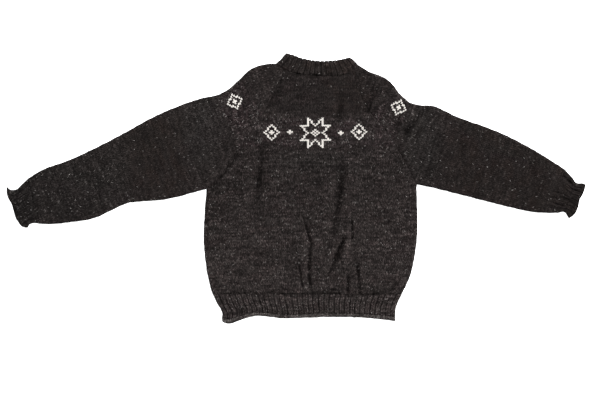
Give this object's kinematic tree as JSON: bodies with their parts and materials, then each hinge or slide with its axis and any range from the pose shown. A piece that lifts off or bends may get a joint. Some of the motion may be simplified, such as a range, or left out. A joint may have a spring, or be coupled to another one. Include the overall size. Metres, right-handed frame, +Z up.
{
  "type": "pullover sweater laid flat",
  "caption": "Hand-knit raglan pullover in dark heather yarn, laid flat with sleeves spread, with ribbed neckband, waist and cuffs",
  "frame": {"origin": "on the surface that the garment lies on, under the middle of its outline", "axes": "+X to the wearer's left along the spread sleeves, +Y from the waist to the neck, +Z up, out of the front"},
  "size_m": [1.4458, 0.6752, 0.0224],
  "materials": {
    "stockinette": "matte wool heather, hand-knit stockinette",
    "ribbing": "matte wool heather, two by two rib"
  },
  "bodies": {
    "root": {"front": "stockinette", "back": "stockinette", "sleeve_right": "stockinette", "sleeve_left": "stockinette", "neckband": "ribbing", "waist_rib": "ribbing", "cuff_right": "ribbing", "cuff_left": "ribbing"}
  },
  "joints": []
}
